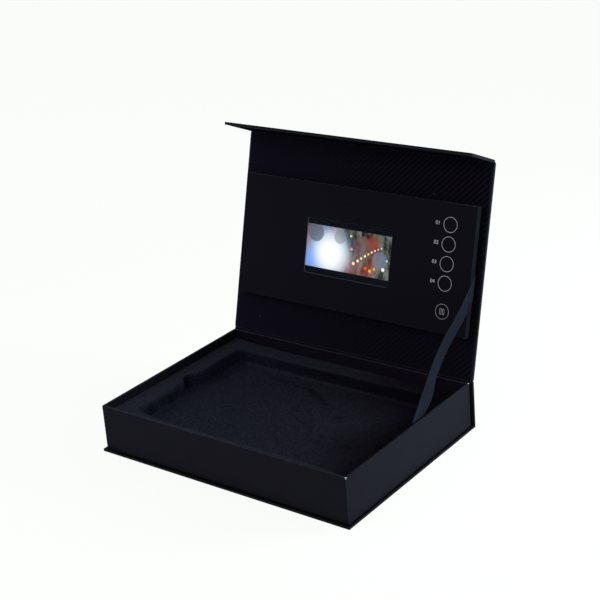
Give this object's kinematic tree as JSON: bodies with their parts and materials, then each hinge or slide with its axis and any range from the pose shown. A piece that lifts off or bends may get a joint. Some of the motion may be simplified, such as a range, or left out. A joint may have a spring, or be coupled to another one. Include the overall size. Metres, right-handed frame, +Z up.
{
  "type": "video presentation box",
  "caption": "Book-style presentation box with a foam tray, a ribbon-stayed lid that carries an LCD video module with push buttons, and a magnetic front flap.",
  "frame": {"origin": "on the table under the centre of the tray, on the underside of the base", "axes": "+X to the right of someone facing the box, +Y to the rear where the lid hinges, +Z up"},
  "size_m": [0.315, 0.2934, 0.295],
  "materials": {
    "wrap_paper": "matte",
    "lining_paper": "matte",
    "grey_board": "matte",
    "foam": "matte",
    "ribbon": "satin",
    "module_face": "matte",
    "spacer_board": "matte",
    "clear_film": "gloss",
    "screen": "gloss",
    "backlight": "gloss",
    "frame_steel": "satin",
    "board_green": "satin",
    "chip_black": "matte",
    "flex_amber": "gloss",
    "socket_steel": "polished",
    "switch_metal": "satin",
    "cell_foil": "satin",
    "lead_red": "satin",
    "speaker_black": "satin",
    "magnet_nickel": "polished",
    "glass_tube": "gloss",
    "cable_white": "satin",
    "button_cap": "matte"
  },
  "bodies": {
    "tray": {"base_board": "grey_board", "base_wrap": "wrap_paper", "base_lining": "lining_paper", "spine_board": "grey_board", "spine_wrap": "wrap_paper", "spine_lining": "lining_paper", "tray_floor": "grey_board", "tray_front_wall": "grey_board", "tray_rear_wall": "grey_board", "tray_left_wall": "grey_board", "tray_right_wall": "grey_board", "tray_wrap": "wrap_paper", "tray_magnets": "magnet_nickel", "foam_base": "foam", "foam_frame": "foam", "trigger_magnet": "magnet_nickel", "lid_hinge_paper": "wrap_paper", "lid_stay_ribbon": "ribbon"},
    "lid": {"lid_board": "grey_board", "lid_wrap": "wrap_paper", "lid_lining": "lining_paper", "flap_hinge_paper": "wrap_paper", "module_spacer": "spacer_board", "module_back_plate": "spacer_board", "module_cover": "module_face", "window_film": "clear_film", "lcd_frame": "frame_steel", "lcd_backlight": "backlight", "lcd_glass": "screen", "lcd_flex": "flex_amber", "main_board": "board_green", "board_chips": "chip_black", "usb_socket": "socket_steel", "reed_switch": "glass_tube", "button_board": "board_green", "tact_switches": "switch_metal", "button_cable": "cable_white", "battery": "cell_foil", "battery_leads": "lead_red", "speaker": "speaker_black", "speaker_leads": "lead_red"},
    "flap": {"flap_board": "grey_board", "flap_wrap": "wrap_paper", "flap_lining": "lining_paper", "flap_magnets": "magnet_nickel"},
    "button_1": {"button_1": "button_cap"},
    "button_2": {"button_2": "button_cap"},
    "button_3": {"button_3": "button_cap"},
    "button_4": {"button_4": "button_cap"},
    "pause_button": {"pause_button": "button_cap"}
  },
  "joints": [
    {"name": "lid_hinge", "type": "hinge", "parent": "tray", "child": "lid", "pos_m": [0, 0.1147, 0.0531], "axis": [1, 0, 0], "range_deg": [0, 105.5], "deforming": ["lid_stay_ribbon", "lid_hinge_paper"]},
    {"name": "flap_hinge", "type": "hinge", "parent": "lid", "child": "flap", "pos_m": [0, 0.1755, 0.27233], "axis": [1, 0, 0], "range_deg": [-81.5, 8.5], "deforming": ["flap_hinge_paper"]},
    {"name": "button_1_press", "type": "slide", "parent": "lid", "child": "button_1", "axis": [0, 0.9636, -0.2672], "range_m": [0, 0.0005], "stiffness_N_per_m": 200, "springref_m": -0.002},
    {"name": "button_2_press", "type": "slide", "parent": "lid", "child": "button_2", "axis": [0, 0.9636, -0.2672], "range_m": [0, 0.0005], "stiffness_N_per_m": 200, "springref_m": -0.002},
    {"name": "button_3_press", "type": "slide", "parent": "lid", "child": "button_3", "axis": [0, 0.9636, -0.2672], "range_m": [0, 0.0005], "stiffness_N_per_m": 200, "springref_m": -0.002},
    {"name": "button_4_press", "type": "slide", "parent": "lid", "child": "button_4", "axis": [0, 0.9636, -0.2672], "range_m": [0, 0.0005], "stiffness_N_per_m": 200, "springref_m": -0.002},
    {"name": "pause_button_press", "type": "slide", "parent": "lid", "child": "pause_button", "axis": [0, 0.9636, -0.2672], "range_m": [0, 0.0005], "stiffness_N_per_m": 200, "springref_m": -0.002}
  ]
}
